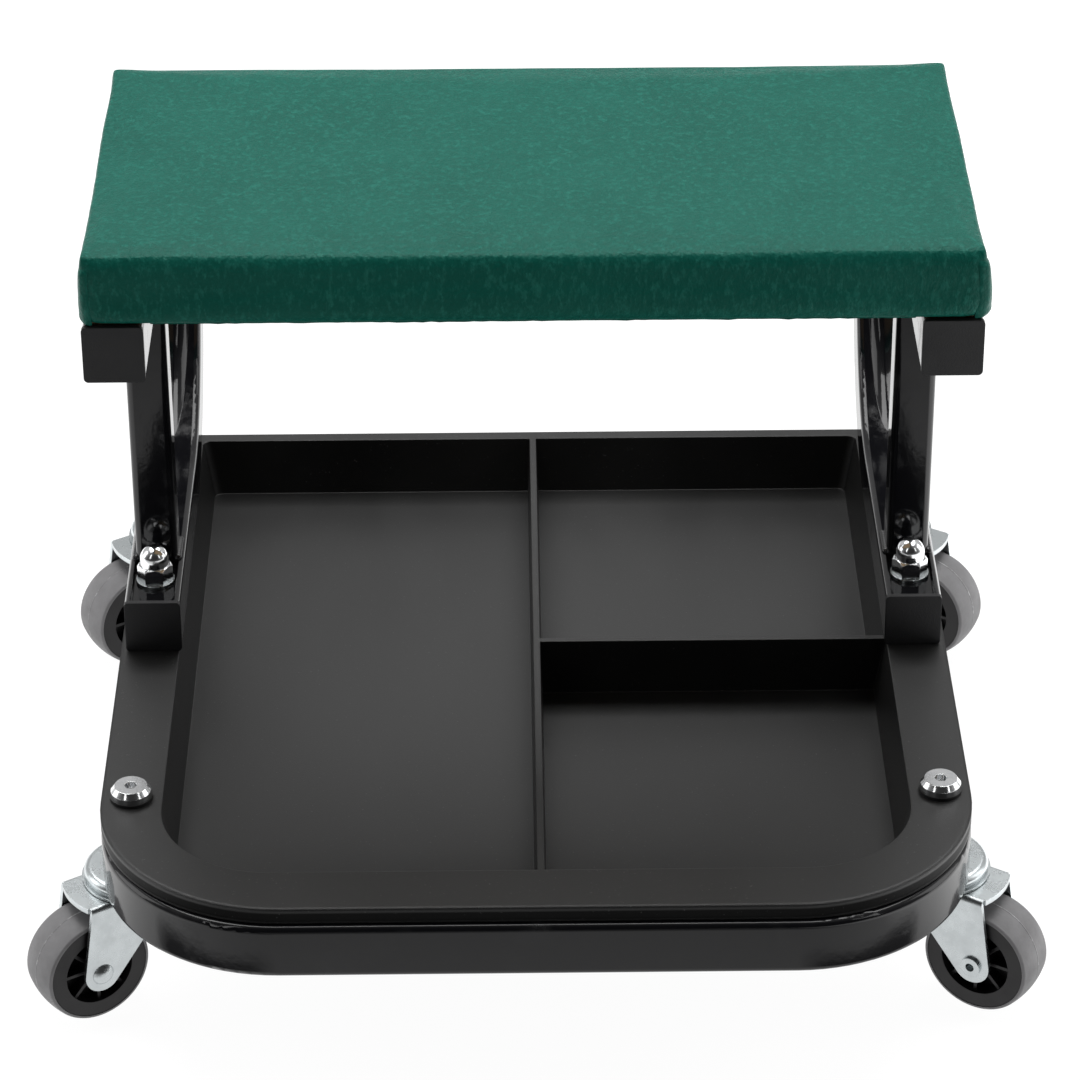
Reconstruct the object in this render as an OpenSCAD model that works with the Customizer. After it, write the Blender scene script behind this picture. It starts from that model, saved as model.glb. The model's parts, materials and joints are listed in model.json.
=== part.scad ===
// Rolling workshop creeper seat: a padded seat on two bent square-tube side frames,
// a U-shaped base tube, a moulded tool tray with three compartments, and four swivel casters.
// Millimetres. X runs across, Y runs back, Z is up. The origin lies on the floor, under the
// centre of the overall outline. Set-backs are measured from the front of the base tube.

/* [Seat] */
// Width of the padded seat
seat_w = 373; // [340:1:400]
// Depth of the padded seat, front to back
seat_d = 190; // [150:1:200]
// Thickness of the pad with its cover
seat_t = 31; // [24:1:45]
// Set-back of the pad's front edge
seat_setback = 102; // [90:1:110]
// Thickness of the board inside the pad
board_t = 9; // [6:1:12]

/* [Side frames] */
// Side of the square tube used for the side frames and the base
tube_w = 25.4; // [24:0.1:26]
// Wall of the square tube
tube_t = 1.6; // [1.2:0.1:2]
// Outside corner radius of the square tube
tube_r = 3; // [2.5:0.1:4]
// Distance of each side frame from the middle of the seat
arm_x = 172.2; // [171:0.1:173.5]
// Centreline radius of the rear bend
bend_r = 97; // [92:0.5:104]
// Set-back of the rear bend's centre
bend_setback = 327; // [320:1:335]
// Set-back of the top arm's front end, with its plug
arm_setback = 104; // [95:1:115]
// Set-back of the bottom arm's front end, with its plug
foot_setback = 205; // [200:1:206]
// Set-back of the frame bolt
frame_bolt_setback = 230.5; // [229:0.5:232]
// Set-back of the strut's front face
strut_setback = 243; // [242:1:250]
// Side of the square strut
strut_w = 19; // [16:0.5:20]

/* [Base and tray] */
// Height of the tray's top face above the floor
tray_top = 100.5; // [100:0.5:103]
// Depth of the tray's compartments
tray_depth = 27; // [20:0.5:27]
// Width over the tray's flange
tray_w = 374.6; // [374:0.2:376]
// Set-back of the tray's front edge
tray_setback = 3; // [2:0.5:5]
// Set-back of the tray's rear edge
tray_rear = 405; // [400:1:408]
// Corner radius of the tray's flange at the front
tray_corner = 80; // [78:1:84]
// Distance of each base tube leg from the middle
base_x = 174.3; // [174:0.1:175]
// Outside corner radius of the base tube
base_corner = 78.7; // [76:0.1:80]
// Set-back of the base tube's rear ends, with their plugs
base_rear = 392; // [390:1:398]
// Set-back of the divider across the right side
divider_setback = 213; // [180:1:240]

/* [Casters] */
// Wheel diameter
wheel_d = 51; // [46:0.5:51]
// Wheel width
wheel_w = 22; // [18:0.5:22]
// Set-back of the front swivel axes
caster_setback = 87; // [86:1:88]
// Distance from the front swivel axes to the rear ones
caster_pitch = 290; // [284:1:290]
// Distance from the swivel axis to the wheel's axle
trail = 26; // [25:0.5:27]
// Angle that the wheels trail forward of straight out, in degrees
splay = 32.45; // [0:0.5:60]

/* [Hidden] */
$fn = 64;
eps = 0.01;
cut = 1;             // how far a cutting shape passes the surface it cuts
gap = 0.3;           // clearance between parts that only pass each other
run_fit = 0.05;      // radial clearance of a running fit

// Overall depth, and the shift that puts the origin under the middle of it
overall_d = bend_setback + bend_r + tube_w / 2;
mid = overall_d / 2;

// Heights
boss_h = 7.6;        // height of the tray's top above the base tube
base_top = tray_top - boss_h;
base_z = base_top - tube_w / 2;
base_bottom = base_top - tube_w;
low_arm_z = tray_top + tube_w / 2;
low_arm_top = tray_top + tube_w;
bend_z = low_arm_z + bend_r;
high_arm_z = bend_z + bend_r;
high_arm_bottom = high_arm_z - tube_w / 2;
high_arm_top = high_arm_z + tube_w / 2;

// Inset of the board from the pad's outline
board_edge = 6;

// Bolts and screws
m8_r = 4;
m8_hole = 4.25;
m8_thread = 4.05;
screw_r = 2.5;
screw_hole = 2.75;
screw_pilot = 2.55;
screw_setbacks = [140, 276];
screw_into_board = 8;
nut_thread = 12;     // length of frame bolt inside the acorn nut

// Dent that bending leaves on the inside of the rear bend: an off-centre ring that bites
// dent_depth into the tube at the back and runs out towards the arms
dent_r = 9;
dent_depth = 4;
dent_offset = 5.4;
dent_path = bend_r - tube_w / 2 + dent_depth - dent_r - dent_offset;

// Flattened front end of the bottom arm
foot_side = 2.8;
foot_sink = 3.5;
foot_plate = 1.6;
foot_floor = low_arm_top - foot_sink;

// Plugs
plug_plate = 2.5;
plug_insert = 15;
plug_play = 0.3;
plug_plate_r = 2;
plug_r = 1.5;        // corner radius of a plug's insert
base_insert = base_rear - plug_plate - caster_setback - caster_pitch - m8_r - 1;

// Tray
flange_t = 3;
lip_t = 2.5;
lip_h = 7.2;
wall_t = 1.9;
tray_in_x = 160.8;
tray_in_corner = 48;
tray_in_rear_corner = 4;
tray_front_rim = 27;
tray_rear_rim = 6.5;
rear_corner = 6;
floor_t = 2.5;
draft = 5;           // how far the walls lean in from top to floor
divider_t = 3;
divider_lean = 1;
boss_r = 9;
floor_z = tray_top - tray_depth;

// Washers
washer_t = 1.6;

// Caster, in its own frame: X points from the swivel axis to the axle
wheel_r = wheel_d / 2;
cup_bottom = 60.3;
cup_r = 23.5;
fork_w = 28.6;
fork_t = 2;
fork_top = 60;
fork_plate = 2.5;
fork_nose = 32.3;
fork_tail = 15;
fork_lead = 29;
fork_end_r = 8.4;
fork_bend_r = 2.5;
king_r = 5.5;
king_head_r = 8.5;
king_head_t = 2.4;
ball_r = 2;
ball_ring = 11;
ball_count = 12;
axle_r = 3;
axle_head_r = 5;
axle_head_h = 2.6;
core_r = 22.8;       // wheel core, out to the tread
core_side = 0.2;     // how far the core's sides stand back from the tread's
core_gap = 0.1;      // radial gap between the core and the tread band
recess_r = 16;
hub_boss_r = 6.5;
hub_web = 6;
hub_play = 0.5;      // gap between the hub and each fork cheek
rib_count = 8;
rib_t = 1.6;
rib_sink = 2;

// ---------- shared shapes ----------

// Square with round corners, centred
module round_square(w, r) {
  square([w - 2 * r, w], center = true);
  square([w, w - 2 * r], center = true);
  for (x = [-1, 1], y = [-1, 1])
    translate([x * (w / 2 - r), y * (w / 2 - r)]) circle(r);
}

// Outline of the square tube, or of its bore
module tube_outline(bore = false) {
  if (bore) round_square(tube_w - 2 * tube_t, tube_r - tube_t);
  else round_square(tube_w, tube_r);
}

// Both sides, mirrored about the middle
module both_sides() {
  for (side = [-1, 1]) on_side(side) children();
}

module on_side(side) {
  if (side < 0) mirror([1, 0, 0]) children();
  else children();
}

// Point where a line from p touches a circle
function touch(p, c, r, side) =
  let (d = p - c, a = atan2(d[1], d[0]) + side * acos(r / norm(d)))
  c + r * [cos(a), sin(a)];

// ---------- seat ----------

module seat_outline(inset) {
  r = 6;
  w = seat_w - 2 * inset;
  d = seat_d - 2 * inset;
  square([w - 2 * r, d], center = true);
  square([w, d - 2 * r], center = true);
  for (x = [-1, 1], y = [-1, 1])
    translate([x * (w / 2 - r), y * (d / 2 - r)]) circle(r, $fn = 32);
}

module at_seat(z) {
  translate([0, seat_setback + seat_d / 2 - mid, z]) children();
}

module seat_cushion() {
  hem = 1;
  crown = 1.5;
  crown_inset = 6;
  top_layer = 1;
  room = board_edge - gap;
  color("#1f6b57") difference() {
    at_seat(high_arm_top + hem) hull() {
      linear_extrude(seat_t - crown) seat_outline(0);
      translate([0, 0, seat_t - top_layer]) linear_extrude(top_layer) seat_outline(crown_inset);
    }
    at_seat(high_arm_top + (board_t + gap) / 2)
      cube([seat_w - 2 * room, seat_d - 2 * room, board_t + gap], center = true);
  }
}

module seat_board() {
  color("#b08d57") difference() {
    at_seat(high_arm_top + board_t / 2)
      cube([seat_w - 2 * board_edge, seat_d - 2 * board_edge, board_t], center = true);
    seat_screw_holes(screw_pilot, high_arm_top - eps, screw_into_board + gap + eps);
  }
}

module seat_screw_holes(r, z, h) {
  both_sides() for (y = screw_setbacks)
    translate([arm_x, y - mid, z]) cylinder(h, r = r);
}

module seat_screws() {
  head_h = 3;
  head_r = 5;
  slot = [5, 1.2, 3.2];
  color("#c9ccce") difference() {
    union() {
      seat_screw_holes(screw_r, high_arm_bottom, tube_w + screw_into_board);
      seat_screw_holes(head_r, high_arm_bottom - head_h, head_h);
    }
    both_sides() for (y = screw_setbacks, turn = [0, 90])
      translate([arm_x, y - mid, high_arm_bottom - head_h]) rotate(turn)
        cube(slot, center = true);
  }
}

// ---------- side frames ----------

// Lies in the XY plane, open towards -X, bend centre at the origin
module side_frame_run(bore) {
  over = bore ? cut : 0;
  rotate(-90) rotate_extrude(angle = 180) translate([bend_r, 0]) tube_outline(bore);
  high_len = bend_setback - arm_setback - plug_plate + over;
  low_len = bend_setback - foot_setback - plug_plate + over;
  translate([-high_len, bend_r, 0]) rotate([0, 90, 0]) linear_extrude(high_len) tube_outline(bore);
  translate([-low_len, -bend_r, 0]) rotate([0, 90, 0]) linear_extrude(low_len) tube_outline(bore);
}

module bend_dent(extra) {
  translate([dent_offset, 0, 0]) rotate_extrude() translate([dent_path, 0]) circle(dent_r + extra);
}

module at_bend(x) {
  translate([x, bend_setback - mid, bend_z]) rotate([90, 0, 90]) children();
}

module foot_block(w, low, high, rear) {
  front = foot_setback - mid - cut;
  translate([-w / 2, front, low]) cube([w, rear - mid - front, high - low]);
}

module side_frame(side) {
  x = side * arm_x;
  color("#1b1c1e") difference() {
    at_bend(x) side_frame_run(false);
    difference() {
      at_bend(x) difference() {
        side_frame_run(true);
        bend_dent(tube_t);
      }
      translate([x, 0, 0])
        foot_block(tube_w, foot_floor - foot_plate, low_arm_top + cut, strut_setback + strut_w);
    }
    at_bend(x) bend_dent(0);
    translate([x, 0, 0])
      foot_block(tube_w - 2 * foot_side, foot_floor, low_arm_top + cut, strut_setback);
    translate([x, frame_bolt_setback - mid, tray_top - cut]) cylinder(tube_w, r = m8_hole);
    seat_screw_holes(screw_hole, high_arm_bottom - cut, tube_w + 2 * cut);
  }
}

module weld_row(z) {
  bead_r = 2.1;
  bead_step = 1.9;
  beads = 9;
  for (x = [-1, 1], i = [1 : beads])
    translate([x * strut_w / 2, -strut_w / 2 + i * bead_step, z]) sphere(bead_r, $fn = 24);
}

module strut(side) {
  wall = 1.5;
  corner = 3;
  h = high_arm_bottom - low_arm_top;
  color("#232427") translate([side * arm_x, strut_setback + strut_w / 2 - mid, low_arm_top])
    difference() {
      union() {
        linear_extrude(h) round_square(strut_w, corner);
        intersection() {
          union() {
            weld_row(0);
            weld_row(h);
          }
          translate([-strut_w, -strut_w, 0]) cube([2 * strut_w, 2 * strut_w, h]);
        }
      }
      translate([0, 0, -cut]) linear_extrude(h + 2 * cut)
        round_square(strut_w - 2 * wall, corner - wall);
    }
}

// Plug for a tube's end: the plate faces -Y, its outer face at y = 0
module tube_plug(insert) {
  insert_w = tube_w - 2 * tube_t - plug_play;
  rotate([-90, 0, 0]) {
    linear_extrude(plug_plate) round_square(tube_w, plug_plate_r);
    linear_extrude(plug_plate + insert) round_square(insert_w, plug_r);
  }
}

module arm_plugs() {
  color("#2a2b2d") both_sides()
    translate([arm_x, arm_setback - mid, high_arm_z]) tube_plug(plug_insert);
}

module foot_plugs() {
  low = tray_top + tube_t + plug_play / 2 - low_arm_z;
  insert_w = tube_w - 2 * tube_r;
  insert_h = foot_floor - foot_plate - tray_top - tube_t - plug_play;
  color("#232427") both_sides() translate([arm_x, foot_setback - mid, low_arm_z]) {
    rotate([-90, 0, 0]) linear_extrude(plug_plate) round_square(tube_w, plug_plate_r);
    translate([-insert_w / 2, plug_plate - eps, low])
      cube([insert_w, plug_insert, insert_h]);
  }
}

// ---------- base ----------

// U-shaped run of tube, or its bore, centred on height 0
module base_run(bore) {
  over = bore ? cut : 0;
  r = base_corner - tube_w / 2;
  corner_x = base_x - r;
  corner_y = base_corner - mid;
  leg = base_rear - plug_plate - base_corner;
  both_sides() {
    translate([corner_x, corner_y, 0]) rotate(-90) rotate_extrude(angle = 90)
      translate([r, 0]) tube_outline(bore);
    translate([base_x, corner_y, 0]) rotate([-90, 0, 0])
      linear_extrude(leg + over) tube_outline(bore);
  }
  translate([-corner_x, tube_w / 2 - mid, 0]) rotate([0, 90, 0])
    linear_extrude(2 * corner_x) tube_outline(bore);
}

module base_tube() {
  color("#17181a") difference() {
    translate([0, 0, base_z]) base_run(false);
    translate([0, 0, base_z]) base_run(true);
    through_bolt_holes(base_bottom - cut, tube_w + 2 * cut);
  }
}

// Holes for the caster bolts and the frame bolts
module through_bolt_holes(z, h) {
  both_sides() {
    for (y = [caster_setback, caster_setback + caster_pitch])
      translate([base_x, y - mid, z]) cylinder(h, r = m8_hole);
    translate([arm_x, frame_bolt_setback - mid, z]) cylinder(h, r = m8_hole);
  }
}

module base_plugs() {
  color("#2a2b2d") both_sides()
    translate([base_x, base_rear - mid, base_z]) rotate(180) tube_plug(base_insert);
}

// ---------- tray ----------

// Plan outline with large front corners and small rear corners
module plan_outline(half_w, front, rear, front_r, rear_r) {
  translate([-half_w, front + front_r]) square([2 * half_w, rear - front - front_r - rear_r]);
  translate([-half_w + front_r, front]) square([2 * (half_w - front_r), front_r + cut]);
  translate([-half_w + rear_r, rear - rear_r - cut]) square([2 * (half_w - rear_r), rear_r + cut]);
  for (x = [-1, 1]) {
    translate([x * (half_w - front_r), front + front_r]) circle(front_r);
    translate([x * (half_w - rear_r), rear - rear_r]) circle(rear_r);
  }
}

module flange_outline(inset) {
  plan_outline(tray_w / 2 - inset, tray_setback + inset - mid, tray_rear - inset - mid,
    tray_corner - inset, rear_corner - inset);
}

module tub_outline(inset) {
  plan_outline(tray_in_x - inset, tray_setback + tray_front_rim + inset - mid,
    tray_rear - tray_rear_rim - inset - mid, tray_in_corner - inset / 2, tray_in_rear_corner);
}

// Part of the tub's opening between two X and two Y limits
module cell(inset, x0, x1, y0, y1) {
  intersection() {
    tub_outline(inset);
    translate([x0, y0 - mid]) square([x1 - x0, y1 - y0]);
  }
}

// Tapered hollow of one compartment; the lean applies on the divider sides
module compartment(x0, x1, y0, y1, lean_x0, lean_x1, lean_y0, lean_y1) {
  hull() {
    translate([0, 0, tray_top]) linear_extrude(cut) cell(0, x0, x1, y0, y1);
    translate([0, 0, floor_z]) linear_extrude(eps)
      cell(draft, x0 + lean_x0, x1 - lean_x1, y0 + lean_y0, y1 - lean_y1);
  }
}

module tray() {
  lean = divider_lean;
  slope = draft / tray_depth;
  color("#26272a") difference() {
    union() {
      translate([0, 0, tray_top - flange_t]) linear_extrude(flange_t) flange_outline(0);
      translate([0, 0, tray_top - lip_h]) linear_extrude(lip_h) difference() {
        flange_outline(0);
        flange_outline(lip_t);
      }
      hull() {
        translate([0, 0, tray_top - flange_t]) linear_extrude(flange_t) tub_outline(-wall_t);
        translate([0, 0, floor_z - floor_t]) linear_extrude(eps)
          tub_outline(draft + floor_t * slope - wall_t);
      }
      both_sides() {
        for (y = [caster_setback, caster_setback + caster_pitch])
          translate([base_x, y - mid, base_top]) cylinder(boss_h - cut, r = boss_r);
        translate([arm_x, frame_bolt_setback - mid, base_top]) cylinder(boss_h - cut, r = boss_r);
      }
    }
    compartment(-tray_in_x, 0, 0, overall_d, 0, lean, 0, 0);
    compartment(divider_t, tray_in_x, divider_setback, overall_d, lean, 0, lean, 0);
    compartment(divider_t, tray_in_x, 0, divider_setback - divider_t, lean, 0, 0, lean);
    through_bolt_holes(base_top - cut, boss_h + 2 * cut);
  }
}

// ---------- bolts, nuts and washers ----------

module frame_bolts() {
  head_h = 5.3;
  head_af = 13;
  color("#c9ccce") both_sides() translate([arm_x, frame_bolt_setback - mid, 0]) {
    translate([0, 0, base_bottom - washer_t - head_h])
      cylinder(head_h, r = head_af / 2 / cos(30), $fn = 6);
    translate([0, 0, base_bottom - washer_t - eps])
      cylinder(foot_floor - base_bottom + 2 * washer_t + nut_thread, r = m8_r);
  }
}

// Flat washer standing on height 0
module washer(r) {
  difference() {
    cylinder(washer_t, r = r);
    translate([0, 0, -cut]) cylinder(washer_t + 2 * cut, r = m8_hole);
  }
}

module frame_bolt_washers() {
  washer_r = 8.5;
  color("#c9ccce") both_sides()
    translate([arm_x, frame_bolt_setback - mid, base_bottom - washer_t]) washer(washer_r);
}

module nut_washers() {
  washer_r = 8.75;
  color("#c9ccce") both_sides()
    translate([arm_x, frame_bolt_setback - mid, foot_floor]) washer(washer_r);
}

module acorn_nuts() {
  hex_af = 14;
  hex_h = 7.5;
  dome_r = 6.5;
  neck_h = 3;
  bore_depth = nut_thread + cut;
  color("#d5d8da") both_sides()
    translate([arm_x, frame_bolt_setback - mid, foot_floor + washer_t]) difference() {
      union() {
        intersection() {
          cylinder(hex_h, r = hex_af / 2 / cos(30), $fn = 6);
          cylinder(hex_h, r1 = hex_af / 2 + hex_h, r2 = hex_af / 2);
        }
        cylinder(hex_h + neck_h, r = dome_r);
        translate([0, 0, hex_h + neck_h]) sphere(dome_r);
      }
      translate([0, 0, -cut]) cylinder(bore_depth + cut, r = m8_thread);
      translate([0, 0, -dome_r]) cube([4 * dome_r, 4 * dome_r, 2 * dome_r], center = true);
    }
}

module caster_bolt_set(y) {
  head_r = 8.75;
  rim_h = 2.4;
  head_h = 4.7;
  top_r = 7;
  socket_af = 5;
  socket_depth = 3;
  shank = tray_top + washer_t - fork_top + king_head_t;
  both_sides() translate([base_x, y - mid, tray_top + washer_t]) {
    difference() {
      union() {
        cylinder(rim_h, r = head_r);
        translate([0, 0, rim_h]) cylinder(head_h - rim_h, r1 = head_r, r2 = top_r);
      }
      translate([0, 0, head_h - socket_depth])
        cylinder(socket_depth + cut, r = socket_af / 2 / cos(30), $fn = 6);
    }
    translate([0, 0, -shank]) cylinder(shank + eps, r = m8_r);
  }
}

module front_caster_bolts() {
  color("#d5d8da") caster_bolt_set(caster_setback);
}

module rear_caster_bolts() {
  color("#d5d8da") caster_bolt_set(caster_setback + caster_pitch);
}

module caster_bolt_washers() {
  washer_r = 9.3;
  color("#141414") both_sides() for (y = [caster_setback, caster_setback + caster_pitch])
    translate([base_x, y - mid, tray_top]) washer(washer_r);
}

// ---------- casters ----------

// Places a caster: side is -1 or 1, rear is 0 or 1
module at_caster(side, rear) {
  translate([side * base_x, caster_setback + rear * caster_pitch - mid, 0])
    rotate(side > 0 ? -splay : 180 + splay) children();
}

// Domed bearing cup, fixed under the base tube
module cup() {
  flange_h = 1;
  shoulder_r = 3.2;
  shoulder = cup_r - shoulder_r - 1;
  neck = 13;
  groove_in = ball_ring - ball_r - 0.5;
  groove_h = 2 * ball_r + gap;
  color("#c4c9cc") difference() {
    rotate_extrude() difference() {
      union() {
        translate([king_r, cup_bottom]) square([cup_r - king_r, flange_h]);
        translate([king_r, cup_bottom]) square([shoulder - king_r, 2 * shoulder_r]);
        translate([shoulder, cup_bottom + shoulder_r]) circle(shoulder_r);
        translate([king_r, cup_bottom]) square([neck - king_r, base_bottom - cup_bottom]);
      }
      translate([groove_in, cup_bottom - cut]) square([2 * ball_r + 1, groove_h + cut]);
    }
  }
}

// Hollow threaded rivet that the fork turns on
module kingpin() {
  head_bottom = fork_top - fork_plate - 2 * run_fit - king_head_t;
  color("#b9bec2") translate([0, 0, head_bottom]) difference() {
    union() {
      cylinder(king_head_t, r = king_head_r);
      cylinder(base_bottom - head_bottom, r = king_r);
    }
    translate([0, 0, -cut]) cylinder(base_bottom - head_bottom + 2 * cut, r = m8_thread);
  }
}

// Ring of bearing balls that lies on the fork
module balls() {
  color("#e2e4e6") for (i = [0 : ball_count - 1]) rotate(i * 360 / ball_count)
    translate([ball_ring, 0, fork_top + ball_r]) sphere(ball_r, $fn = 24);
}

module cheek_outline() {
  tail = [-fork_tail, fork_top];
  lead = [fork_lead, fork_top];
  end = [trail, wheel_r];
  polygon([tail, lead, touch(lead, end, fork_end_r, -1), end, touch(tail, end, fork_end_r, 1)]);
  translate(end) circle(fork_end_r);
}

// Cross-section of the folded fork, in Y and Z
module fork_section() {
  half = fork_w / 2;
  low = wheel_r - fork_end_r - cut;
  difference() {
    union() {
      translate([-half, low]) square([fork_w, fork_top - fork_bend_r - low]);
      translate([-half + fork_bend_r, low]) square([fork_w - 2 * fork_bend_r, fork_top - low]);
      for (y = [-1, 1]) translate([y * (half - fork_bend_r), fork_top - fork_bend_r])
        circle(fork_bend_r);
    }
    translate([-half + fork_t, low - cut])
      square([fork_w - 2 * fork_t, fork_top - fork_plate - low + cut]);
  }
}

module fork() {
  reach = 80;
  color("#c4c9cc") difference() {
    union() {
      intersection() {
        translate([0, reach / 2, 0]) rotate([90, 0, 0]) linear_extrude(reach) cheek_outline();
        translate([-reach / 2, 0, 0]) rotate([90, 0, 90]) linear_extrude(reach) fork_section();
      }
      translate([0, 0, fork_top - fork_plate]) intersection() {
        cylinder(fork_plate, r = fork_nose);
        translate([0, -fork_w / 2 + fork_bend_r, 0])
          cube([fork_nose, fork_w - 2 * fork_bend_r, fork_plate]);
      }
    }
    translate([0, 0, fork_top - fork_plate - cut])
      cylinder(fork_plate + 2 * cut, r = king_r + run_fit);
    translate([trail, reach / 2, wheel_r]) rotate([90, 0, 0]) cylinder(reach, r = axle_r);
  }
}

// Rivet axle: domed head at +Y, flared hollow end at -Y
module axle() {
  half = fork_w / 2;
  flare_r = 4.6;
  flare_h = 1.4;
  hollow_r = 2;
  cap_r = (axle_head_r * axle_head_r + axle_head_h * axle_head_h) / (2 * axle_head_h);
  color("#ccd0d3") translate([trail, 0, wheel_r]) rotate([-90, 0, 0]) difference() {
    union() {
      translate([0, 0, -half - flare_h]) cylinder(2 * half + flare_h + axle_head_h / 2, r = axle_r);
      translate([0, 0, -half - flare_h]) cylinder(flare_h, r = flare_r);
      intersection() {
        translate([0, 0, half]) cylinder(axle_head_h, r = axle_head_r);
        translate([0, 0, half + axle_head_h - cap_r]) sphere(cap_r);
      }
    }
    translate([0, 0, -half - flare_h - cut]) cylinder(half / 2, r = hollow_r);
  }
}

module at_axle() {
  translate([trail, 0, wheel_r]) rotate([-90, 0, 0]) children();
}

// Moulded wheel core: a flat side ring round a ribbed recess
module hub() {
  boss_w = fork_w - 2 * fork_t - 2 * hub_play;
  core_w = wheel_w - 2 * core_side;
  rib_w = core_w - 2 * rib_sink;
  color("#1a1a1b") at_axle() difference() {
    union() {
      difference() {
        cylinder(core_w, r = core_r, center = true);
        cylinder(core_w + 2 * cut, r = recess_r, center = true);
      }
      cylinder(hub_web, r = recess_r + cut, center = true);
      cylinder(boss_w, r = hub_boss_r, center = true);
      for (i = [0 : rib_count - 1]) rotate(i * 360 / rib_count)
        translate([0, -rib_t / 2, -rib_w / 2]) cube([recess_r + cut, rib_t, rib_w]);
    }
    cylinder(boss_w + 2 * cut, r = axle_r + run_fit, center = true);
  }
}

// Crowned tread band round the core
module tyre() {
  shoulder = 1.2;
  crown = 1.1;
  half = wheel_w / 2;
  edge_r = wheel_r - crown;
  inner = core_r + core_gap;
  flat = half - shoulder;
  crown_r = (flat * flat + crown * crown) / (2 * crown);
  color("#6d6c6e") at_axle() rotate_extrude() intersection() {
    union() {
      translate([recess_r, -half]) square([edge_r - shoulder - recess_r, wheel_w]);
      translate([recess_r, -flat]) square([edge_r - recess_r, 2 * flat]);
      for (y = [-1, 1]) translate([edge_r - shoulder, y * flat]) circle(shoulder);
      intersection() {
        translate([wheel_r - crown_r, 0]) circle(crown_r, $fn = 256);
        translate([recess_r, -flat]) square([wheel_r - recess_r + cut, 2 * flat]);
      }
    }
    translate([inner, -wheel_w]) square([wheel_r, 2 * wheel_w]);
  }
}

seat_cushion();
seat_board();
seat_screws();
side_frame(-1);  // side_frame_left
side_frame(1);  // side_frame_right
strut(-1);  // strut_left
strut(1);  // strut_right
arm_plugs();
foot_plugs();
base_tube();
base_plugs();
frame_bolts();
frame_bolt_washers();
nut_washers();
acorn_nuts();
tray();
front_caster_bolts();
rear_caster_bolts();
caster_bolt_washers();
at_caster(-1, 0) cup();  // cup_front_left
at_caster(1, 0) cup();  // cup_front_right
at_caster(-1, 1) cup();  // cup_rear_left
at_caster(1, 1) cup();  // cup_rear_right
at_caster(-1, 0) kingpin();  // kingpin_front_left
at_caster(1, 0) kingpin();  // kingpin_front_right
at_caster(-1, 1) kingpin();  // kingpin_rear_left
at_caster(1, 1) kingpin();  // kingpin_rear_right
at_caster(-1, 0) fork();  // fork_front_left
at_caster(1, 0) fork();  // fork_front_right
at_caster(-1, 1) fork();  // fork_rear_left
at_caster(1, 1) fork();  // fork_rear_right
at_caster(-1, 0) balls();  // balls_front_left
at_caster(1, 0) balls();  // balls_front_right
at_caster(-1, 1) balls();  // balls_rear_left
at_caster(1, 1) balls();  // balls_rear_right
at_caster(-1, 0) axle();  // axle_front_left
at_caster(1, 0) axle();  // axle_front_right
at_caster(-1, 1) axle();  // axle_rear_left
at_caster(1, 1) axle();  // axle_rear_right
at_caster(-1, 0) hub();  // hub_front_left
at_caster(1, 0) hub();  // hub_front_right
at_caster(-1, 1) hub();  // hub_rear_left
at_caster(1, 1) hub();  // hub_rear_right
at_caster(-1, 0) tyre();  // tyre_front_left
at_caster(1, 0) tyre();  // tyre_front_right
at_caster(-1, 1) tyre();  // tyre_rear_left
at_caster(1, 1) tyre();  // tyre_rear_right
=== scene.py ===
"""Looks of a rolling creeper seat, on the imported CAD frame.

The CAD nodes keep their shapes and get procedural materials. The seat pad is a cloth-simulated
cushion with folded corners and a stapled hem. Metres, +Z up, +Y towards the back.
"""
import json
import math

import bmesh
import bpy
from mathutils import Matrix, Vector, noise
from mathutils.bvhtree import BVHTree


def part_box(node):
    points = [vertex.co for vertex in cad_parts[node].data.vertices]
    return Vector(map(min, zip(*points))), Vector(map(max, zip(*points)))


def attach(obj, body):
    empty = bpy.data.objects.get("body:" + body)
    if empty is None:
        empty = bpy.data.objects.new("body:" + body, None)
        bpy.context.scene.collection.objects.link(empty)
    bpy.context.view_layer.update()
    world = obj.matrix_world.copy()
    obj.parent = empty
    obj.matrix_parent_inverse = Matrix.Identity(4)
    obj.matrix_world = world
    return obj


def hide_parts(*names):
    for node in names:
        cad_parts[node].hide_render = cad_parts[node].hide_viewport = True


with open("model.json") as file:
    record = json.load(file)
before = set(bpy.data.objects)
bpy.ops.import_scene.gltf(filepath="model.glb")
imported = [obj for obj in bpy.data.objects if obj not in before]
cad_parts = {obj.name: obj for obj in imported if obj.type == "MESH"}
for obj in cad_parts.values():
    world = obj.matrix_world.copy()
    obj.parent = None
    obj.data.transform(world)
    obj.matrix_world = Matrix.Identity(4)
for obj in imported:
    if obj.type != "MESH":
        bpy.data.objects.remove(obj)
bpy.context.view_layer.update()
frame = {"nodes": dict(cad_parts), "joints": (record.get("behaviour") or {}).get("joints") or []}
MM = 0.001
CORNERS = ("front_left", "front_right", "rear_left", "rear_right")


# ---------------------------------------------------------------- materials

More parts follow.
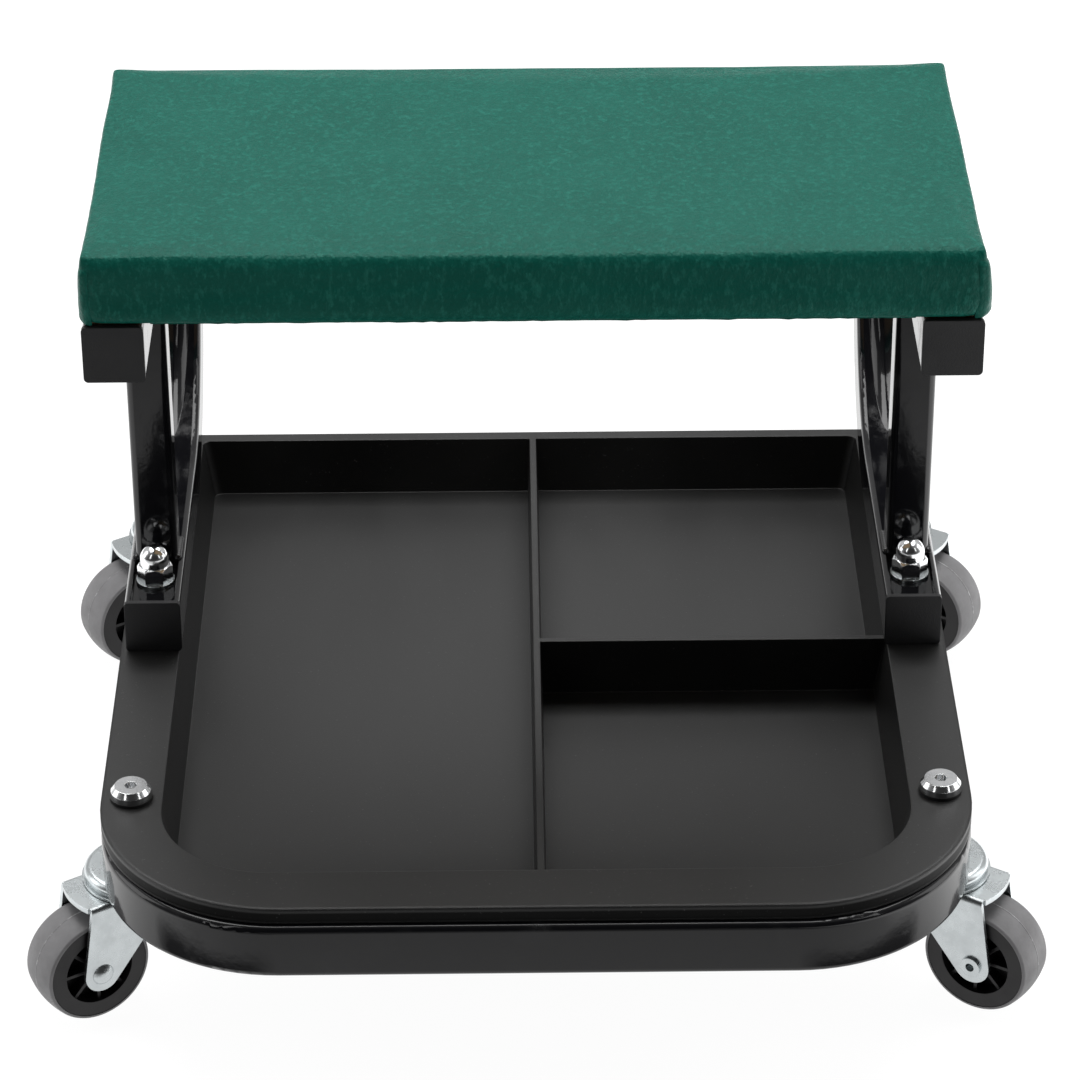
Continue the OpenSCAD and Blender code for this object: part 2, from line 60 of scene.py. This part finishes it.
class Shader:
    """A Principled material with small helpers for its node tree."""

    def __init__(self, name, base, rough, metallic=0.0, **constants):
        self.material = bpy.data.materials.new(name)
        self.material.use_nodes = True
        self.tree = self.material.node_tree
        self.bsdf = self.tree.nodes["Principled BSDF"]
        self.bsdf.inputs["Base Color"].default_value = (*base, 1.0)
        self.bsdf.inputs["Roughness"].default_value = rough
        self.bsdf.inputs["Metallic"].default_value = metallic
        for key, value in constants.items():
            self.bsdf.inputs[key.replace("_", " ")].default_value = value
        self.coords = self.node("ShaderNodeTexCoord").outputs["Object"]
        self.normal = None

    def node(self, kind, **settings):
        made = self.tree.nodes.new(kind)
        for key, value in settings.items():
            setattr(made, key, value)
        return made

    def link(self, out, into):
        self.tree.links.new(out, into)

    def stretched(self, scale):
        """Object coordinates with a different scale along each axis."""
        mapping = self.node("ShaderNodeMapping")
        mapping.inputs["Scale"].default_value = scale
        self.link(self.coords, mapping.inputs["Vector"])
        return mapping.outputs["Vector"]

    def noise(self, scale, detail=3.0, rough=0.55, coords=None):
        made = self.node("ShaderNodeTexNoise")
        made.inputs["Scale"].default_value = scale
        made.inputs["Detail"].default_value = detail
        made.inputs["Roughness"].default_value = rough
        self.link(coords or self.coords, made.inputs["Vector"])
        return made.outputs["Fac"]

    def cells(self, scale):
        """Distance to the middle of soft-edged cells."""
        made = self.node("ShaderNodeTexVoronoi", feature="SMOOTH_F1")
        made.inputs["Scale"].default_value = scale
        self.link(self.coords, made.inputs["Vector"])
        return made.outputs["Distance"]

    def axes(self):
        """X, Y and Z sockets of the object coordinates."""
        split = self.node("ShaderNodeSeparateXYZ")
        self.link(self.coords, split.inputs["Vector"])
        return split.outputs["X"], split.outputs["Y"], split.outputs["Z"]

    def ramp(self, fac, low, high, start=0.0, end=1.0):
        """Maps fac between two limits to a value between start and end."""
        made = self.node("ShaderNodeMapRange")
        made.inputs["From Min"].default_value = low
        made.inputs["From Max"].default_value = high
        made.inputs["To Min"].default_value = start
        made.inputs["To Max"].default_value = end
        self.link(fac, made.inputs["Value"])
        return made.outputs["Result"]

    def math(self, operation, a, b):
        made = self.node("ShaderNodeMath", operation=operation)
        for value, socket in ((a, made.inputs[0]), (b, made.inputs[1])):
            if isinstance(value, (int, float)):
                socket.default_value = value
            else:
                self.link(value, socket)
        return made.outputs[0]

    def length(self, a, b):
        """Length of a vector in a plane, from its two parts."""
        squares = self.math("ADD", self.math("MULTIPLY", a, a), self.math("MULTIPLY", b, b))
        return self.math("SQRT", squares, 0.0)

    def blend_colour(self, fac, first, second):
        """Colour between two colours or colour sockets, by fac."""
        made = self.node("ShaderNodeMix", data_type="RGBA")
        self.link(fac, made.inputs["Factor"])
        sockets = [s for s in made.inputs if s.type == "RGBA"]
        for value, socket in ((first, sockets[0]), (second, sockets[1])):
            if isinstance(value, tuple):
                socket.default_value = (*value, 1.0)
            else:
                self.link(value, socket)
        return [s for s in made.outputs if s.type == "RGBA"][0]

    def round_edges(self, radius):
        """Softens the sharp edges of the CAD shapes in the shading; radius in metres, or a socket."""
        made = self.node("ShaderNodeBevel", samples=6)
        if isinstance(radius, float):
            made.inputs["Radius"].default_value = radius
        else:
            self.link(radius, made.inputs["Radius"])
        self.normal = made.outputs["Normal"]
        self.link(self.normal, self.bsdf.inputs["Normal"])
        return self

    def bump(self, height, distance, strength=1.0):
        made = self.node("ShaderNodeBump")
        made.inputs["Strength"].default_value = strength
        made.inputs["Distance"].default_value = distance
        self.link(height, made.inputs["Height"])
        if self.normal:
            self.link(self.normal, made.inputs["Normal"])
        self.normal = made.outputs["Normal"]
        self.link(self.normal, self.bsdf.inputs["Normal"])
        return self

    def roughness(self, fac):
        self.link(fac, self.bsdf.inputs["Roughness"])
        return self

    def colour(self, socket):
        self.link(socket, self.bsdf.inputs["Base Color"])
        return self


def frame_paint():
    """Gloss black powder coat with orange peel and a few dull scuffs."""
    s = Shader("frame_paint", (0.004, 0.004, 0.005), 0.2, Specular_IOR_Level=0.4)
    s.round_edges(0.6 * MM)
    s.bump(s.noise(240, 2.0), 0.03 * MM)
    scuff = s.ramp(s.noise(35, 6.0, 0.7), 0.55, 0.72)
    s.roughness(s.ramp(scuff, 0, 1, 0.09, 0.30))
    s.colour(s.blend_colour(scuff, (0.004, 0.004, 0.005), (0.010, 0.010, 0.011)))
    return s.material


def flange_rim(s, x, y):
    """1 along the outside of the tray's flange, with its round front corners, and 0 elsewhere."""
    low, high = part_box("tray")
    corner, band = 80 * MM, 8 * MM
    across = s.math("SUBTRACT", s.math("ABSOLUTE", x, 0.0), high.x - corner)
    ahead = s.math("SUBTRACT", low.y + corner, y)
    reach = s.length(s.math("MAXIMUM", across, 0.0), s.math("MAXIMUM", ahead, 0.0))
    return s.ramp(reach, corner - band, corner - 0.7 * band)


def tray_plastic():
    """Satin black moulded plastic with a fine texture and faint flow marks; a lower specular level on its
    lip paints a dark band there, standing in for the dark reflection its rounded edge shows.
    """
    s = Shader("tray_plastic", (0.004, 0.004, 0.004), 0.42)
    x, y, z = s.axes()
    rim = flange_rim(s, x, y)
    edge_r, rim_r = 0.8 * MM, 3 * MM
    s.round_edges(s.ramp(rim, 0, 1, edge_r, rim_r))
    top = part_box("tray")[1].z
    lip_from, lip_to = top - 1.4 * MM, top - 6.0 * MM
    lip = s.math("SUBTRACT", s.ramp(z, lip_from, lip_from - 1.0 * MM), s.ramp(z, lip_to, lip_to - 0.6 * MM))
    # painted shade: the lip's specular level is dropped to paint the dark band its rounded edge shows by
    # reflection
    shiny, dull = 0.5, 0.06
    s.link(s.ramp(s.math("MULTIPLY", rim, lip), 0, 1, shiny, dull), s.bsdf.inputs["Specular IOR Level"])
    s.bump(s.noise(1700, 3.0), 0.05 * MM)
    flow = s.noise(9, 4.0, 0.6, s.stretched((1.0, 0.35, 1.0)))
    specks = s.ramp(s.noise(900, 1.0), 0.72, 0.78)
    s.roughness(s.ramp(flow, 0.3, 0.7, 0.37, 0.48))
    tone = s.blend_colour(s.ramp(flow, 0.35, 0.65), (0.003, 0.003, 0.003), (0.006, 0.006, 0.006))
    s.colour(s.blend_colour(specks, tone, (0.05, 0.05, 0.05)))
    return s.material


def plug_plastic():
    """Matt moulded plastic of the tube plugs, with a sparked finish."""
    s = Shader("plug_plastic", (0.012, 0.012, 0.013), 0.5, Specular_IOR_Level=0.3)
    s.round_edges(0.7 * MM)
    s.bump(s.noise(1300, 2.0), 0.08 * MM)
    s.roughness(s.ramp(s.noise(60, 4.0), 0.3, 0.7, 0.48, 0.62))
    s.colour(s.blend_colour(s.noise(40, 4.0), (0.010, 0.010, 0.011), (0.018, 0.018, 0.019)))
    return s.material


def plated(name, base, rough, dull):
    """Bright metal plating with fine grain and dull patches."""
    s = Shader(name, base, rough, metallic=1.0)
    s.round_edges(0.35 * MM)
    s.bump(s.noise(500, 3.0), 0.03 * MM)
    patches = s.noise(90, 5.0, 0.65)
    s.roughness(s.ramp(patches, 0.3, 0.75, rough, rough + dull))
    darker = tuple(c * 0.82 for c in base)
    s.colour(s.blend_colour(s.ramp(patches, 0.35, 0.75), base, darker))
    return s.material


def black_washer():
    s = Shader("black_washer", (0.006, 0.006, 0.006), 0.45)
    s.round_edges(0.3 * MM)
    s.bump(s.noise(700, 2.0), 0.04 * MM)
    s.roughness(s.ramp(s.noise(200, 3.0), 0.3, 0.7, 0.38, 0.55))
    return s.material


def plywood():
    """Raw board inside the pad, seen from below."""
    s = Shader("plywood", (0.45, 0.32, 0.19), 0.7)
    grain = s.noise(14, 6.0, 0.65, s.stretched((1.0, 14.0, 6.0)))
    s.colour(s.blend_colour(s.ramp(grain, 0.3, 0.7), (0.40, 0.28, 0.16), (0.22, 0.14, 0.07)))
    s.roughness(s.ramp(grain, 0.3, 0.7, 0.6, 0.8))
    s.bump(grain, 0.25 * MM)
    return s.material


def vinyl():
    """Dark green upholstery vinyl: leather grain, upright creases, small gathers at the top edge; the crease
    crests get a painted highlight.
    """
    s = Shader("vinyl", (0.003, 0.080, 0.058), 0.42, Specular_IOR_Level=0.08)
    pebbles = s.cells(760)
    creases = s.noise(420, 5.0, 0.65, s.stretched((1.0, 1.0, 0.45)))
    height = s.axes()[2]
    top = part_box("seat_cushion")[1].z
    gathers_from, gathers_most = top - 9 * MM, top - 1.5 * MM
    band = s.math("SUBTRACT", s.ramp(height, gathers_from, gathers_most), s.ramp(height, gathers_most, top))
    gathers = s.noise(300, 2.0, 0.5, s.stretched((1.0, 1.0, 0.12)))
    s.bump(s.math("MULTIPLY", gathers, band), 0.9 * MM)
    s.bump(pebbles, 0.22 * MM, 0.8)
    s.bump(creases, 0.55 * MM, 1.0)
    s.roughness(s.ramp(creases, 0.3, 0.7, 0.34, 0.50))
    mottle = s.noise(26, 5.0, 0.6, s.stretched((1.0, 1.0, 0.35)))
    tone = s.blend_colour(s.ramp(mottle, 0.3, 0.7), (0.002, 0.073, 0.053), (0.004, 0.090, 0.066))
    # painted highlight: the raised crests of the creases are coloured lighter
    painted_crest_highlight = s.blend_colour(s.ramp(creases, 0.50, 0.64), tone, (0.012, 0.125, 0.094))
    s.colour(s.blend_colour(s.ramp(pebbles, 0.0, 0.5, 0.0, 0.35), painted_crest_highlight, (0.001, 0.054, 0.039)))
    return s.material


def wheel_core():
    s = Shader("wheel_core", (0.007, 0.006, 0.007), 0.4, Specular_IOR_Level=0.35)
    s.round_edges(0.5 * MM)
    s.bump(s.noise(900, 2.0), 0.05 * MM)
    s.roughness(s.ramp(s.noise(120, 4.0), 0.3, 0.7, 0.34, 0.5))
    return s.material


def tread(corner):
    """Grey rubber tread with a mould line round its middle, and painted highlights as light specks along it;
    needs its own wheel's axle.
    """
    s = Shader("tread_" + corner, (0.175, 0.172, 0.177), 0.55)
    axle, along = axle_of(corner)
    offset = s.node("ShaderNodeVectorMath", operation="SUBTRACT")
    s.link(s.coords, offset.inputs[0])
    offset.inputs[1].default_value = axle
    across = s.node("ShaderNodeVectorMath", operation="DOT_PRODUCT")
    s.link(offset.outputs["Vector"], across.inputs[0])
    across.inputs[1].default_value = along
    distance = s.math("ABSOLUTE", across.outputs["Value"], 0.0)
    line = s.ramp(distance, 0.1 * MM, 0.45 * MM, 1.0, 0.0)
    # painted highlights: light specks broken along the mould line, standing in for glints on its small nubs,
    # which are not modelled
    painted_glints = s.math("MULTIPLY", line, s.ramp(s.noise(260, 3.0, 0.7), 0.5, 0.62))
    grime = s.noise(110, 5.0, 0.65)
    tone = s.blend_colour(s.ramp(grime, 0.35, 0.75), (0.184, 0.181, 0.186), (0.150, 0.147, 0.151))
    s.colour(s.blend_colour(painted_glints, tone, (0.42, 0.42, 0.42)))
    s.roughness(s.ramp(grime, 0.3, 0.7, 0.48, 0.64))
    s.bump(line, 0.18 * MM)
    s.bump(s.noise(600, 3.0), 0.06 * MM)
    return s.material


def axle_of(corner):
    """Centre and direction of one wheel's axle, from its joint."""
    joint = next(j for j in frame["joints"] if j["name"] == "roll_" + corner)
    return Vector(joint["pos_m"]), Vector(joint["axis"]).normalized()


def finish(node, material):
    for slot in frame["nodes"][node].material_slots:
        slot.material = material


VINYL = vinyl()
ZINC = plated("zinc", (0.57, 0.605, 0.615), 0.22, 0.14)
CHROME = plated("chrome", (0.80, 0.81, 0.82), 0.12, 0.10)


def finish_cad_nodes():
    paint, plastic, plug = frame_paint(), tray_plastic(), plug_plastic()
    core, washer = wheel_core(), black_washer()
    for side in ("left", "right"):
        finish("side_frame_" + side, paint)
        finish("strut_" + side, paint)
    finish("base_tube", paint)
    finish("tray", plastic)
    finish("seat_board", plywood())
    for node in ("arm_plugs", "foot_plugs", "base_plugs"):
        finish(node, plug)
    for node in ("acorn_nuts", "front_caster_bolts", "rear_caster_bolts"):
        finish(node, CHROME)
    for node in ("seat_screws", "frame_bolts", "frame_bolt_washers", "nut_washers"):
        finish(node, ZINC)
    finish("caster_bolt_washers", washer)
    for corner in CORNERS:
        for part in ("cup_", "kingpin_", "fork_", "axle_"):
            finish(part + corner, ZINC)
        finish("balls_" + corner, CHROME)
        finish("hub_" + corner, core)
        finish("tyre_" + corner, tread(corner))


# ---------------------------------------------------------------- seat pad

SEAT_LOW, SEAT_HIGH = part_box("seat_cushion")
SEAT_MID = (SEAT_LOW + SEAT_HIGH) / 2
SEAT_HALF = (SEAT_HIGH - SEAT_LOW) / 2
FOLD_ROOM = 2.2 * MM        # how far the pad's ends stand back at the bottom, for the folds


def mesh_object(name, verts, faces, material):
    mesh = bpy.data.meshes.new(name)
    mesh.from_pydata(verts, [], faces)
    mesh.update()
    for polygon in mesh.polygons:
        polygon.use_smooth = True
    mesh.materials.append(material)
    made = bpy.data.objects.new(name, mesh)
    bpy.context.scene.collection.objects.link(made)
    return made


def baked(obj):
    """Applies every modifier of obj to its mesh."""
    graph = bpy.context.evaluated_depsgraph_get()
    mesh = bpy.data.meshes.new_from_object(obj.evaluated_get(graph))
    obj.modifiers.clear()
    obj.data = mesh
    return obj


def pad_block():
    """Closed block of the pad's outline, a little smaller than the pad, its ends leaning in."""
    low_inset, high_inset, top_drop = FOLD_ROOM, 0.5 * MM, 0.9 * MM
    verts = []
    for z, inset in ((SEAT_LOW.z, low_inset), (SEAT_HIGH.z - top_drop, high_inset)):
        for x, y in ((-1, -1), (1, -1), (1, 1), (-1, 1)):
            verts.append((SEAT_MID.x + x * (SEAT_HALF.x - inset),
                          SEAT_MID.y + y * (SEAT_HALF.y - 0.6 * inset), z))
    faces = [(3, 2, 1, 0), (4, 5, 6, 7), (0, 1, 5, 4), (1, 2, 6, 5), (2, 3, 7, 6), (3, 0, 4, 7)]
    return mesh_object("seat_pad", verts, faces, VINYL)


def remesh(obj, cell):
    modifier = obj.modifiers.new("Remesh", "REMESH")
    modifier.mode = "VOXEL"
    modifier.voxel_size = cell
    modifier.use_smooth_shade = True
    return baked(obj)


def held_group(obj):
    """The cover is stapled under the board: its bottom and lowest edge don't move."""
    group = obj.vertex_groups.new(name="held")
    edge = SEAT_LOW.z + 5 * MM
    for vertex in obj.data.vertices:
        if vertex.co.z < edge:
            group.add([vertex.index], 1.0, "REPLACE")
    return group


def swell(obj, most):
    """Cloth under pressure, with each point's movement eased to at most `most` metres."""
    before = [v.co.copy() for v in obj.data.vertices]
    group = held_group(obj)
    cloth = obj.modifiers.new("Cloth", "CLOTH")
    settings = cloth.settings
    settings.quality = 5
    settings.mass = 0.4
    settings.tension_stiffness = 40
    settings.compression_stiffness = 40
    settings.shear_stiffness = 20
    settings.bending_stiffness = 4
    settings.use_pressure = True
    settings.uniform_pressure_force = 4
    settings.effector_weights.gravity = 0
    settings.vertex_group_mass = group.name
    scene, frames = bpy.context.scene, 20
    for step in range(1, frames + 1):
        scene.frame_set(step)
    baked(obj)
    scene.frame_set(1)
    for vertex, start in zip(obj.data.vertices, before):
        move = vertex.co - start
        if move.length > 1e-7:
            vertex.co = start + move.normalized() * most * math.tanh(move.length / most)
    return obj


def smooth_step(low, high, value):
    t = min(max((value - low) / (high - low), 0.0), 1.0)
    return t * t * (3 - 2 * t)


def pull_marks(obj):
    """Small gathers below the top edge and a waver in the cover, with the lowest part drawn down a little
    near the ends.
    """
    for vertex in obj.data.vertices:
        p = vertex.co
        end_x = SEAT_HALF.x - abs(p.x - SEAT_MID.x)
        end_y = SEAT_HALF.y - abs(p.y - SEAT_MID.y)
        depth = SEAT_HIGH.z - p.z
        wall = 1 - smooth_step(2 * MM, 9 * MM, min(end_x, end_y))
        band = smooth_step(0, 4 * MM, depth) * (1 - smooth_step(8 * MM, 22 * MM, depth))
        along = p.x if end_y < end_x else p.y
        gather = noise.noise(Vector((along * 210, p.z * 30, 3.1)))
        waver = noise.noise(Vector((p.x * 22, p.y * 22, p.z * 30)))
        outward = Vector(((p.x - SEAT_MID.x) if end_x <= end_y else 0,
                          (p.y - SEAT_MID.y) if end_y < end_x else 0, 0))
        if outward.length > 0:
            p += outward.normalized() * wall * (0.30 * MM * band * gather + 0.45 * MM * waver)
        if depth < 6 * MM:
            p.z += 0.35 * MM * waver
        if min(end_x, end_y) < 4 * MM:
            p.z -= 1.9 * MM * (1 - smooth_step(1 * MM, 7 * MM, p.z - SEAT_LOW.z))
    return obj


def seat_pad():
    pad = remesh(pad_block(), 4.5 * MM)
    swell(pad, 1.6 * MM)
    pull_marks(pad)
    modifier = pad.modifiers.new("Smooth", "SUBSURF")
    modifier.levels = modifier.render_levels = 1
    baked(pad)
    for polygon in pad.data.polygons:
        polygon.use_smooth = True
    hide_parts("seat_cushion")
    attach(pad, "creeper")
    return pad


def end_of(pad):
    """How far the finished pad's end stands out, as a function of the side, y and z."""
    tree = BVHTree.FromPolygons([v.co for v in pad.data.vertices], [p.vertices for p in pad.data.polygons])
    away, inset, low = SEAT_HALF.x + 30 * MM, 5 * MM, SEAT_LOW.z + 4 * MM

    def stands_out(side, y, z):
        y = min(max(y, SEAT_LOW.y + inset), SEAT_HIGH.y - inset)
        start = Vector((SEAT_MID.x + side * away, y, max(z, low)))
        hit = tree.ray_cast(start, Vector((-side, 0, 0)))[0]
        return side * (hit.x - SEAT_MID.x) if hit else SEAT_HALF.x - 8 * MM

    return stands_out


def corner_fold(side, end, flare, stands_out):
    """Folded pleat of the cover on one end of the pad, at one corner; wider towards the hem."""
    levels, turns = 18, 14
    reach = 24 * MM
    top, bottom = SEAT_HIGH.z - 3.5 * MM, SEAT_LOW.z - 0.6 * MM
    verts, faces = [], []
    for i in range(levels + 1):
        t = i / levels
        z = top + (bottom - top) * t
        lean = FOLD_ROOM * t
        emerge = smooth_step(0.0, 0.14, t)
        bulge = flare * (0.25 + 0.75 * t ** 0.8) - 3.0 * MM * (1 - emerge)
        if i == levels:
            bulge *= 0.55
        for j in range(turns + 1):
            a = math.pi * j / turns
            back = (1 - math.cos(a)) / 2
            swell_out = math.sin(a) ** 0.6 * (1 - back) ** 0.55 if 0 < j < turns else 0.0
            inside = (0.9 + 2.8 * (1 - back) ** 4) * MM
            y = SEAT_HALF.y - (1.2 + 2.5 * (1 - emerge)) * MM - 0.6 * lean - back * reach * (0.35 + 0.65 * t)
            x = stands_out(side, SEAT_MID.y + end * y, z) - inside + (bulge + inside) * swell_out
            ripple = 0.15 * MM * noise.noise(Vector((t * 6, j * 0.4, side + 2 * end)))
            verts.append((SEAT_MID.x + side * (x + ripple), SEAT_MID.y + end * y, z))
    row = turns + 1
    for i in range(levels):
        for j in range(turns):
            quad = (i * row + j, i * row + j + 1, (i + 1) * row + j + 1, (i + 1) * row + j)
            faces.append(quad if side * end > 0 else quad[::-1])
    name = f"corner_fold_{'left' if side < 0 else 'right'}_{'front' if end < 0 else 'rear'}"
    fold = mesh_object(name, verts, faces, VINYL)
    thick = fold.modifiers.new("Thickness", "SOLIDIFY")
    thick.thickness = 0.8 * MM
    thick.offset = -1
    smooth = fold.modifiers.new("Smooth", "SUBSURF")
    smooth.levels = smooth.render_levels = 1
    baked(fold)
    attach(fold, "creeper")
    return fold


def hem(end):
    """Turned-under edge of the cover below the board, between the two top arms."""
    board_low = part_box("seat_board")[0].z
    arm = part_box("side_frame_right")[0].x
    half = arm - 3 * MM
    outer = SEAT_HALF.y - 4.5 * MM
    steps, rows, width, thick = 90, 6, 24 * MM, 0.9 * MM
    verts, faces = [], []
    for i in range(steps + 1):
        x = -half + 2 * half * i / steps
        for j in range(rows + 1):
            frac = j / rows
            edge = 1.6 * MM * noise.noise(Vector((x * 60, end, 0))) * frac
            y = outer - width * frac + edge
            pucker = abs(noise.noise(Vector((x * 120, frac * 2, end * 5)))) * 0.8 * MM
            rise = 1.1 * MM if j == 0 else 0.0
            verts.append((SEAT_MID.x + x, SEAT_MID.y + end * y, board_low - 0.25 * MM - pucker + rise))
    row = rows + 1
    for i in range(steps):
        for j in range(rows):
            quad = (i * row + j, i * row + j + 1, (i + 1) * row + j + 1, (i + 1) * row + j)
            faces.append(quad)
    strip = mesh_object("hem_" + ("front" if end < 0 else "rear"), verts, faces, VINYL)
    solid = strip.modifiers.new("Thickness", "SOLIDIFY")
    solid.thickness = thick
    solid.offset = 0
    baked(strip)
    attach(strip, "creeper")
    return board_low, half, outer - 0.45 * width


def staples(end, board_low, half, y):
    """Row of wire staples through one hem."""
    count, crown, wire = 9, 10 * MM, 0.45 * MM
    made = bmesh.new()
    for i in range(count):
        x = -half + 2 * half * (i + 0.5) / count
        turn = Matrix.Rotation(0.25 * noise.noise(Vector((i * 3.7, end, 1))), 4, "Z")
        place = Matrix.Translation((SEAT_MID.x + x, SEAT_MID.y + end * y, board_low - 1.5 * MM)) @ turn
        bmesh.ops.create_cone(made, cap_ends=True, segments=10, radius1=wire, radius2=wire,
                              depth=crown, matrix=place @ Matrix.Rotation(math.pi / 2, 4, "Y"))
        for leg in (-1, 1):
            bend = place @ Matrix.Translation((leg * crown / 2, 0, 0))
            bmesh.ops.create_uvsphere(made, u_segments=10, v_segments=6, radius=wire, matrix=bend)
            bmesh.ops.create_cone(made, cap_ends=True, segments=10, radius1=wire, radius2=wire,
                                  depth=2 * MM, matrix=bend @ Matrix.Translation((0, 0, MM)))
    mesh = bpy.data.meshes.new("staples")
    made.to_mesh(mesh)
    made.free()
    mesh.materials.append(ZINC)
    row = bpy.data.objects.new("staples_" + ("front" if end < 0 else "rear"), mesh)
    bpy.context.scene.collection.objects.link(row)
    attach(row, "creeper")


# ---------------------------------------------------------------- studio

def corner_flags(s, x, y):
    """0 on a narrow oval of floor beside each front corner of the base tube, 1 elsewhere: painted shadows in
    the floor's glow, which the tube's corners reflect.
    """
    centre_x, centre_y, turn = 204 * MM, -262 * MM, math.radians(37)
    half_long, half_wide = 90 * MM, 24 * MM
    x = s.math("SUBTRACT", s.math("ABSOLUTE", x, 0.0), centre_x)
    y = s.math("SUBTRACT", y, centre_y)
    cos, sin = math.cos(turn), math.sin(turn)
    along = s.math("ADD", s.math("MULTIPLY", x, cos / half_long), s.math("MULTIPLY", y, sin / half_long))
    across = s.math("SUBTRACT", s.math("MULTIPLY", y, cos / half_wide),
                    s.math("MULTIPLY", x, sin / half_wide))
    return s.ramp(s.length(along, across), 0.75, 1.1)


def backdrop():
    """Plain white floor, seen evenly white by the camera; it glows, and the light its glow gives the object
    is dimmer in front, brighter at the sides.
    """
    half = 20.0
    verts = [(-half, -half, 0), (half, -half, 0), (half, half, 0), (-half, half, 0)]
    s = Shader("studio_floor", (0.12, 0.12, 0.12), 0.9, Specular_IOR_Level=0.0)
    s.bsdf.inputs["Emission Color"].default_value = (1, 1, 1, 1)
    x, y, _ = s.axes()
    white = 0.96
    front = s.ramp(y, -0.55, -0.24, 0.08, white)
    right = s.ramp(x, 0.25, 0.32, 0.0, 1.3)
    left = s.ramp(x, -0.25, -0.32, 0.0, 0.5)
    thrown = s.math("MULTIPLY", corner_flags(s, x, y), s.math("ADD", front, s.math("ADD", left, right)))
    seen = s.math("MULTIPLY", s.node("ShaderNodeLightPath").outputs["Is Camera Ray"], white)
    s.link(s.math("MAXIMUM", thrown, seen), s.bsdf.inputs["Emission Strength"])
    s.roughness(s.ramp(s.noise(3, 2.0), 0.3, 0.7, 0.85, 0.95))
    floor = mesh_object("studio_floor", verts, [(0, 1, 2, 3)], s.material)


def softbox(name, place, aim, size, power):
    data = bpy.data.lights.new(name, "AREA")
    data.shape = "RECTANGLE"
    data.size, data.size_y = size
    data.energy = power
    light = bpy.data.objects.new(name, data)
    light.location = place
    direction = Vector(aim) - Vector(place)
    light.rotation_euler = direction.to_track_quat("-Z", "Y").to_euler()
    bpy.context.scene.collection.objects.link(light)
    return light


def sky():
    """White surroundings, which throw less light from in front of the seat."""
    world = bpy.data.worlds.new("studio")
    world.use_nodes = True
    bpy.context.scene.world = world
    nodes, links = world.node_tree.nodes, world.node_tree.links
    coords = nodes.new("ShaderNodeTexCoord")
    split = nodes.new("ShaderNodeSeparateXYZ")
    links.new(coords.outputs["Generated"], split.inputs["Vector"])
    back = nodes.new("ShaderNodeMapRange")
    back.interpolation_type = "SMOOTHSTEP"
    back.inputs["From Min"].default_value = -0.75
    back.inputs["From Max"].default_value = 0.45
    back.inputs["To Min"].default_value = 0.03
    back.inputs["To Max"].default_value = 0.56
    links.new(split.outputs["Y"], back.inputs["Value"])
    seen = nodes.new("ShaderNodeMath")
    seen.operation = "MAXIMUM"
    links.new(back.outputs["Result"], seen.inputs[0])
    links.new(nodes.new("ShaderNodeLightPath").outputs["Is Camera Ray"], seen.inputs[1])
    background = nodes["Background"]
    background.inputs["Color"].default_value = (1, 1, 1, 1)
    links.new(seen.outputs["Value"], background.inputs["Strength"])


def camera():
    """Long lens, looking down at the front of the tray."""
    pitch, yaw, roll = (math.radians(a) for a in (30.75, 0.50, -0.255))
    place = Vector((-0.0113, -1.67335, 1.145))
    forward = Vector((math.sin(yaw) * math.cos(pitch), math.cos(yaw) * math.cos(pitch), -math.sin(pitch)))
    level = Vector((math.cos(yaw), -math.sin(yaw), 0))
    up = level.cross(forward)
    right = math.cos(roll) * level + math.sin(roll) * up
    top = -math.sin(roll) * level + math.cos(roll) * up
    data = bpy.data.cameras.new("camera")
    data.sensor_width = 36
    data.lens = 143.8
    data.clip_end = 30
    made = bpy.data.objects.new("camera", data)
    turn = Matrix((right, top, -forward)).transposed().to_4x4()
    made.matrix_world = Matrix.Translation(place) @ turn
    bpy.context.scene.collection.objects.link(made)
    bpy.context.scene.camera = made


def studio():
    backdrop()
    sky()
    softbox("overhead", (0.0, 0.55, 1.9), (0, 0, 0.1), (2.2, 1.6), 58)
    softbox("left", (-1.9, 0.2, 0.9), (0, 0, 0.2), (1.0, 1.4), 8)
    softbox("right", (1.9, 0.2, 0.9), (0, 0, 0.2), (1.0, 1.4), 8)
    softbox("strip_left", (-1.1, -1.5, 1.5), (0, 0, 0.15), (0.22, 1.3), 2.6)
    softbox("strip_right", (1.3, -1.1, 1.2), (0, 0, 0.15), (0.18, 1.1), 1.6)
    bpy.context.scene.view_settings.view_transform = "Standard"


# ---------------------------------------------------------------- build

camera()
studio()
finish_cad_nodes()
pad_end = end_of(seat_pad())
REAR_FLARE = 1.0 * MM
for side, front_flare in ((-1, 2.4 * MM), (1, 4.6 * MM)):
    corner_fold(side, -1, front_flare, pad_end)
    corner_fold(side, 1, REAR_FLARE, pad_end)
for end in (-1, 1):
    staples(end, *hem(end))
